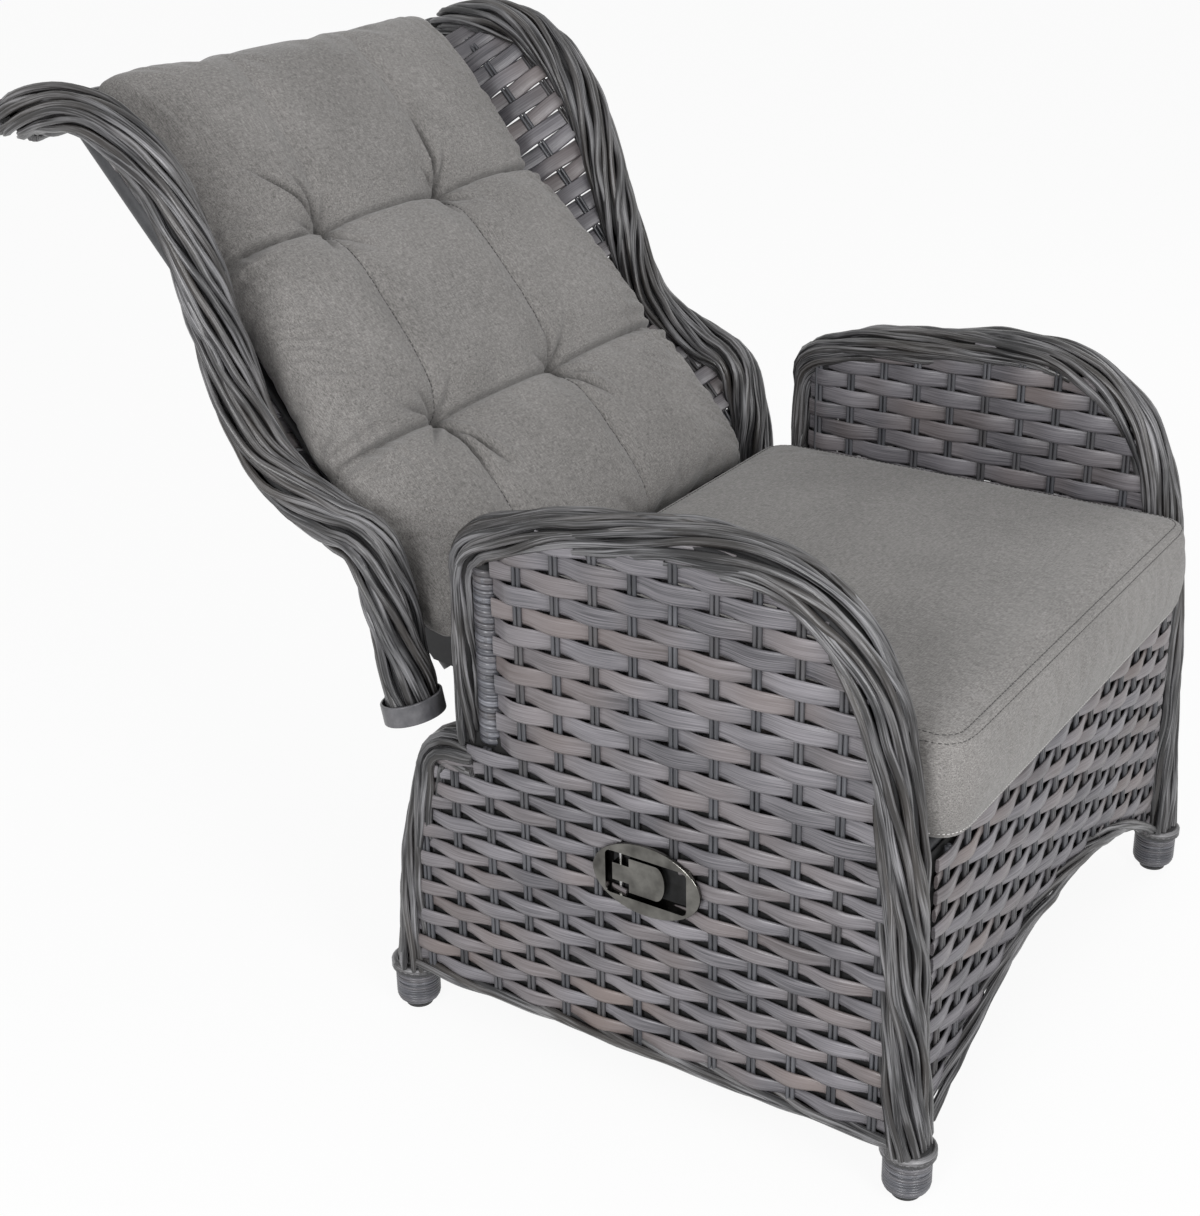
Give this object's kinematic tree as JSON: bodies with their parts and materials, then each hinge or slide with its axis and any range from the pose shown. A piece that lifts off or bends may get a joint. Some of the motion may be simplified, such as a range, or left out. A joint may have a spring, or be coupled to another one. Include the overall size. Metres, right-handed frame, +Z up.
{
  "type": "reclining garden armchair",
  "caption": "Woven reclining garden armchair with winged high back, thick twisted rims, tufted back cushion, box seat cushion and a release latch in one side.",
  "frame": {"origin": "on the floor, in the middle of the chair's width and length with the back reclined as at rest", "axes": "+X to the sitter's left, +Y to the rear, +Z up"},
  "size_m": [0.751, 1.0474, 0.9187],
  "materials": {
    "strand": "satin streaked",
    "weave": "satin with grain",
    "wrap": "satin",
    "frame": "powder coated",
    "chrome": "polished",
    "black_steel": "satin",
    "steel": "bright",
    "black_plastic": "matte",
    "cushion": "woven",
    "strap": "woven"
  },
  "bodies": {
    "base": {"arm_rim_left": "strand", "arm_rim_right": "strand", "arm_tube_left": "frame", "arm_tube_right": "frame", "rear_rim_left": "strand", "rear_rim_right": "strand", "arm_post_left": "wrap", "arm_post_right": "wrap", "edge_rim_left": "strand", "edge_rim_right": "strand", "side_weave_left": "weave", "side_weave_right": "weave", "arm_lining_left": "weave", "arm_lining_right": "weave", "foot_front_left": "wrap", "foot_front_right": "wrap", "foot_rear_left": "wrap", "foot_rear_right": "wrap", "seat_rail_left": "frame", "seat_rail_right": "frame", "hinge_bracket_left": "frame", "hinge_bracket_right": "frame", "arch_rim": "strand", "apron_weave": "weave", "rear_weave": "weave", "front_cross_tube": "frame", "rear_cross_tube": "frame", "seat_straps": "strap", "glides": "black_plastic", "hinge_pins": "steel", "gas_rod": "steel", "release_head": "black_steel", "spring_mount": "frame", "spring_pins": "steel", "latch_cup": "chrome", "latch_bezel": "chrome", "latch_pin": "chrome", "release_cable": "black_plastic", "seat_cushion": "cushion"},
    "backrest": {"back_rim_left": "strand", "back_rim_right": "strand", "back_tube_left": "frame", "back_tube_right": "frame", "rim_cap_left": "wrap", "rim_cap_right": "wrap", "corner_tube_left": "frame", "corner_tube_right": "frame", "wing_weave_left": "weave", "wing_weave_right": "weave", "hinge_plate_left": "frame", "hinge_plate_right": "frame", "back_weave": "weave", "back_cross_tubes": "frame", "top_rim": "strand", "lever_lug": "frame", "lever_pin": "steel", "back_cushion": "cushion"},
    "gas_cylinder": {"gas_cylinder": "black_steel"},
    "release_paddle": {"latch_paddle": "chrome"},
    "release_lever": {"release_lever": "black_steel"}
  },
  "joints": [
    {"name": "recline", "type": "hinge", "parent": "base", "child": "backrest", "pos_m": [0, 0.02587, 0.385], "axis": [1, 0, 0], "range_deg": [-4, 20]},
    {"name": "cylinder_slide", "type": "slide", "parent": "base", "child": "gas_cylinder", "axis": [0, 1, 0], "range_m": [-0.005, 0.023]},
    {"name": "paddle_hinge", "type": "hinge", "parent": "base", "child": "release_paddle", "pos_m": [-0.349, -0.20213, 0.258], "axis": [0, 0, -1], "range_deg": [0, 35], "stiffness_Nm_per_rad": 0.12, "springref_deg": -17.19},
    {"name": "lever_hinge", "type": "hinge", "parent": "base", "child": "release_lever", "pos_m": [0, -0.35913, 0.33371], "axis": [1, 0, 0], "range_deg": [0, 11]}
  ],
  "couplings": [
    {"joint": "cylinder_slide", "follows": "recline", "m_per_rad": 0.0645},
    {"joint": "lever_hinge", "follows": "paddle_hinge", "ratio": 0.3}
  ]
}
